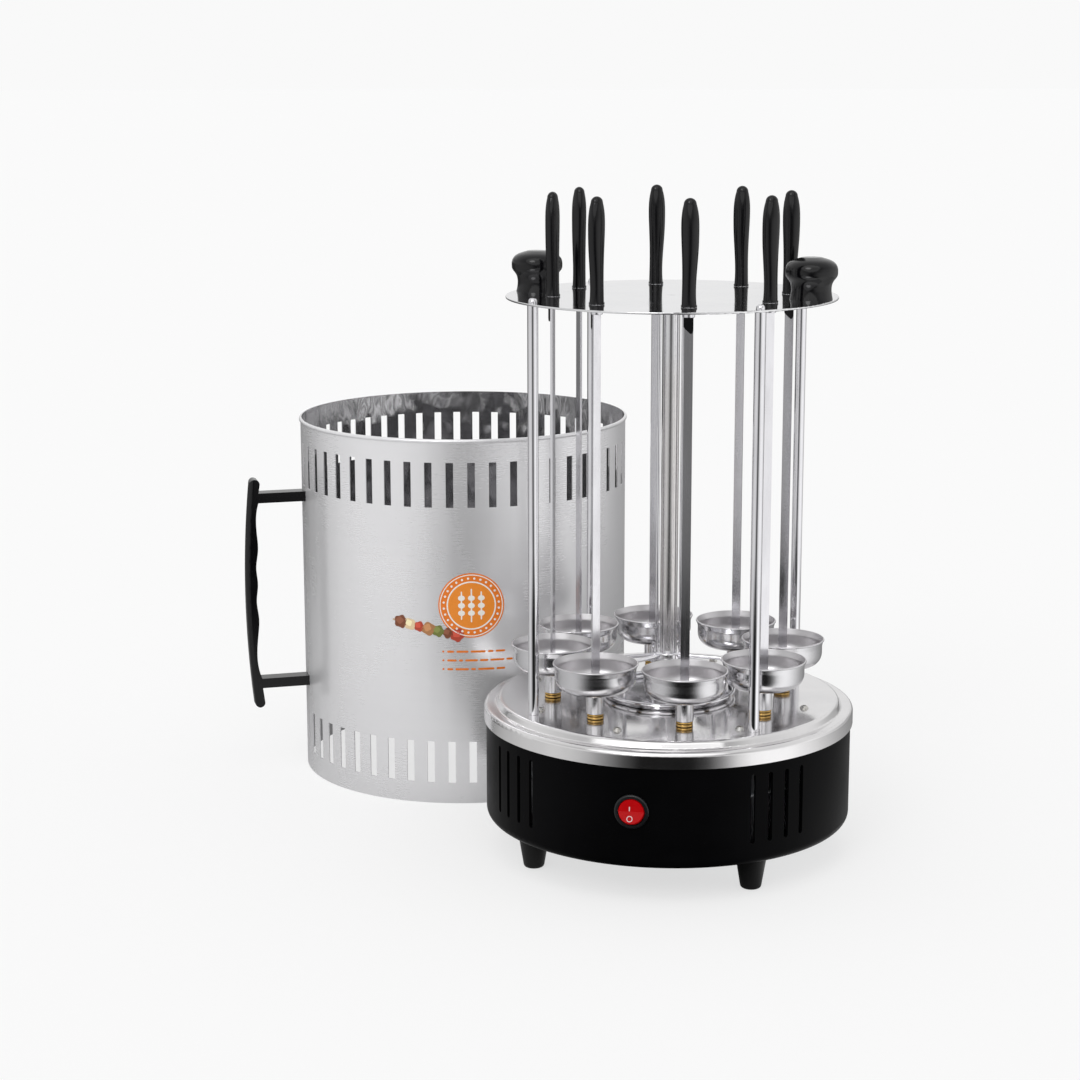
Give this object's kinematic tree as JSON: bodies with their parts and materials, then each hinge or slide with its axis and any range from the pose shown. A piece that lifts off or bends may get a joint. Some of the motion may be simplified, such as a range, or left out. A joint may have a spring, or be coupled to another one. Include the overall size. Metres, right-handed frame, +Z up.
{
  "type": "electric skewer grill",
  "caption": "Upright electric grill: motor drum with cups that turn, skewers hung in a lift-off disc round a rod heater, switch, and its slotted sleeve beside it.",
  "frame": {"origin": "on the grill's own axis at floor level, under the middle of the drum", "axes": "+Z up along the axis; -Y is the switch side; the taken-off sleeve stands behind and to the left, at -X +Y"},
  "size_m": [0.4488, 0.4585, 0.453],
  "materials": {
    "base_shell": "black enamel, satin to gloss",
    "bottom_cover": "plain galvanised sheet",
    "feet": "black moulded feet",
    "cord_inlet": "black moulded bush",
    "top_plate": "polished stainless pressing",
    "screws": "plated screws",
    "bushes": "turned brass",
    "posts": "polished rods",
    "spacers": "plain tube",
    "gear_deck": "plain sheet",
    "centre_hub": "turned",
    "gear_motor": "plated can",
    "heater_tube": "tubular heater sheath",
    "heater_insulator": "glazed ceramic",
    "heater_guard": "polished wire",
    "drip_dish": "polished dish",
    "terminal_block": "ivory moulding",
    "switch_housing": "black bezel and body",
    "nylon_gears": "natural nylon",
    "motor_pinion": "cut steel",
    "cups": "polished outside, satin inside",
    "blades": "bright strip",
    "grips_and_knobs": "black moulding",
    "top_disc": "mirror-polished stainless sheet",
    "sleeve": "satin outside, bright inside",
    "sleeve_handle": "black moulding",
    "handle_rivets": "plain rivets",
    "switch_rocker": "red moulding"
  },
  "bodies": {
    "base": {"base_shell": "base_shell", "bottom_cover": "bottom_cover", "feet": "feet", "cord_inlet": "cord_inlet", "top_plate": "top_plate", "plate_screws": "screws", "spindle_bushes": "bushes", "posts": "posts", "spacers": "spacers", "gear_deck": "gear_deck", "deck_bearings": "bushes", "centre_hub": "centre_hub", "gear_motor": "gear_motor", "motor_screws": "screws", "heater_tube": "heater_tube", "heater_insulator": "heater_insulator", "heater_guard": "heater_guard", "drip_dish": "drip_dish", "terminal_block": "terminal_block", "switch_housing": "switch_housing"},
    "drive_gear": {"drive_gear": "nylon_gears"},
    "motor_pinion": {"motor_pinion": "motor_pinion"},
    "spindle_1": {"cup_1": "cups", "pinion_1": "nylon_gears"},
    "spindle_2": {"cup_2": "cups", "pinion_2": "nylon_gears"},
    "spindle_3": {"cup_3": "cups", "pinion_3": "nylon_gears"},
    "spindle_4": {"cup_4": "cups", "pinion_4": "nylon_gears"},
    "spindle_5": {"cup_5": "cups", "pinion_5": "nylon_gears"},
    "spindle_6": {"cup_6": "cups", "pinion_6": "nylon_gears"},
    "spindle_7": {"cup_7": "cups", "pinion_7": "nylon_gears"},
    "spindle_8": {"cup_8": "cups", "pinion_8": "nylon_gears"},
    "top_disc": {"top_disc": "top_disc", "disc_knobs": "grips_and_knobs"},
    "skewer_1": {"blade_1": "blades", "grip_1": "grips_and_knobs"},
    "skewer_2": {"blade_2": "blades", "grip_2": "grips_and_knobs"},
    "skewer_3": {"blade_3": "blades", "grip_3": "grips_and_knobs"},
    "skewer_4": {"blade_4": "blades", "grip_4": "grips_and_knobs"},
    "skewer_5": {"blade_5": "blades", "grip_5": "grips_and_knobs"},
    "skewer_6": {"blade_6": "blades", "grip_6": "grips_and_knobs"},
    "skewer_7": {"blade_7": "blades", "grip_7": "grips_and_knobs"},
    "skewer_8": {"blade_8": "blades", "grip_8": "grips_and_knobs"},
    "sleeve": {"sleeve": "sleeve", "sleeve_handle": "sleeve_handle", "handle_rivets": "handle_rivets"},
    "rocker": {"switch_rocker": "switch_rocker"}
  },
  "joints": [
    {"name": "drive_spin", "type": "hinge", "parent": "base", "child": "drive_gear", "pos_m": [0, 0, 0.07755], "axis": [0, 0, 1], "continuous": true},
    {"name": "motor_spin", "type": "hinge", "parent": "base", "child": "motor_pinion", "pos_m": [0.01954, 0.07344, 0.07255], "axis": [0, 0, 1], "continuous": true},
    {"name": "spindle_1_spin", "type": "hinge", "parent": "base", "child": "spindle_1", "pos_m": [0.01058, -0.0793, 0.08255], "axis": [0, 0, 1], "continuous": true},
    {"name": "spindle_2_spin", "type": "hinge", "parent": "base", "child": "spindle_2", "pos_m": [0.06355, -0.04859, 0.08255], "axis": [0, 0, 1], "continuous": true},
    {"name": "spindle_3_spin", "type": "hinge", "parent": "base", "child": "spindle_3", "pos_m": [0.0793, 0.01058, 0.08255], "axis": [0, 0, 1], "continuous": true},
    {"name": "spindle_4_spin", "type": "hinge", "parent": "base", "child": "spindle_4", "pos_m": [0.04859, 0.06355, 0.08255], "axis": [0, 0, 1], "continuous": true},
    {"name": "spindle_5_spin", "type": "hinge", "parent": "base", "child": "spindle_5", "pos_m": [-0.01058, 0.0793, 0.08255], "axis": [0, 0, 1], "continuous": true},
    {"name": "spindle_6_spin", "type": "hinge", "parent": "base", "child": "spindle_6", "pos_m": [-0.06355, 0.04859, 0.08255], "axis": [0, 0, 1], "continuous": true},
    {"name": "spindle_7_spin", "type": "hinge", "parent": "base", "child": "spindle_7", "pos_m": [-0.0793, -0.01058, 0.08255], "axis": [0, 0, 1], "continuous": true},
    {"name": "spindle_8_spin", "type": "hinge", "parent": "base", "child": "spindle_8", "pos_m": [-0.04859, -0.06355, 0.08255], "axis": [0, 0, 1], "continuous": true},
    {"name": "disc_lift", "type": "slide", "parent": "base", "child": "top_disc", "axis": [0, 0, 1], "range_m": [0, 0.28]},
    {"name": "skewer_1_spin", "type": "hinge", "parent": "top_disc", "child": "skewer_1", "pos_m": [0.01058, -0.0793, 0.3841], "axis": [0, 0, 1], "continuous": true},
    {"name": "skewer_2_spin", "type": "hinge", "parent": "top_disc", "child": "skewer_2", "pos_m": [0.06355, -0.04859, 0.3841], "axis": [0, 0, 1], "continuous": true},
    {"name": "skewer_3_spin", "type": "hinge", "parent": "top_disc", "child": "skewer_3", "pos_m": [0.0793, 0.01058, 0.3841], "axis": [0, 0, 1], "continuous": true},
    {"name": "skewer_4_spin", "type": "hinge", "parent": "top_disc", "child": "skewer_4", "pos_m": [0.04859, 0.06355, 0.3841], "axis": [0, 0, 1], "continuous": true},
    {"name": "skewer_5_spin", "type": "hinge", "parent": "top_disc", "child": "skewer_5", "pos_m": [-0.01058, 0.0793, 0.3841], "axis": [0, 0, 1], "continuous": true},
    {"name": "skewer_6_spin", "type": "hinge", "parent": "top_disc", "child": "skewer_6", "pos_m": [-0.06355, 0.04859, 0.3841], "axis": [0, 0, 1], "continuous": true},
    {"name": "skewer_7_spin", "type": "hinge", "parent": "top_disc", "child": "skewer_7", "pos_m": [-0.0793, -0.01058, 0.3841], "axis": [0, 0, 1], "continuous": true},
    {"name": "skewer_8_spin", "type": "hinge", "parent": "top_disc", "child": "skewer_8", "pos_m": [-0.04859, -0.06355, 0.3841], "axis": [0, 0, 1], "continuous": true},
    {"name": "sleeve_lift", "type": "slide", "parent": "base", "child": "sleeve", "axis": [0, 0, 1], "range_m": [0, 0.45]},
    {"name": "switch_rock", "type": "hinge", "parent": "base", "child": "rocker", "pos_m": [-0.02337, -0.12369, 0.0625], "axis": [0.9826, -0.1857, 0], "range_deg": [0, 22]}
  ],
  "couplings": [
    {"joint": "motor_spin", "follows": "drive_spin", "ratio": -3.75},
    {"joint": "spindle_1_spin", "follows": "drive_spin", "ratio": -3},
    {"joint": "spindle_2_spin", "follows": "drive_spin", "ratio": -3},
    {"joint": "spindle_3_spin", "follows": "drive_spin", "ratio": -3},
    {"joint": "spindle_4_spin", "follows": "drive_spin", "ratio": -3},
    {"joint": "spindle_5_spin", "follows": "drive_spin", "ratio": -3},
    {"joint": "spindle_6_spin", "follows": "drive_spin", "ratio": -3},
    {"joint": "spindle_7_spin", "follows": "drive_spin", "ratio": -3},
    {"joint": "spindle_8_spin", "follows": "drive_spin", "ratio": -3},
    {"joint": "skewer_1_spin", "follows": "drive_spin", "ratio": -3},
    {"joint": "skewer_2_spin", "follows": "drive_spin", "ratio": -3},
    {"joint": "skewer_3_spin", "follows": "drive_spin", "ratio": -3},
    {"joint": "skewer_4_spin", "follows": "drive_spin", "ratio": -3},
    {"joint": "skewer_5_spin", "follows": "drive_spin", "ratio": -3},
    {"joint": "skewer_6_spin", "follows": "drive_spin", "ratio": -3},
    {"joint": "skewer_7_spin", "follows": "drive_spin", "ratio": -3},
    {"joint": "skewer_8_spin", "follows": "drive_spin", "ratio": -3}
  ]
}
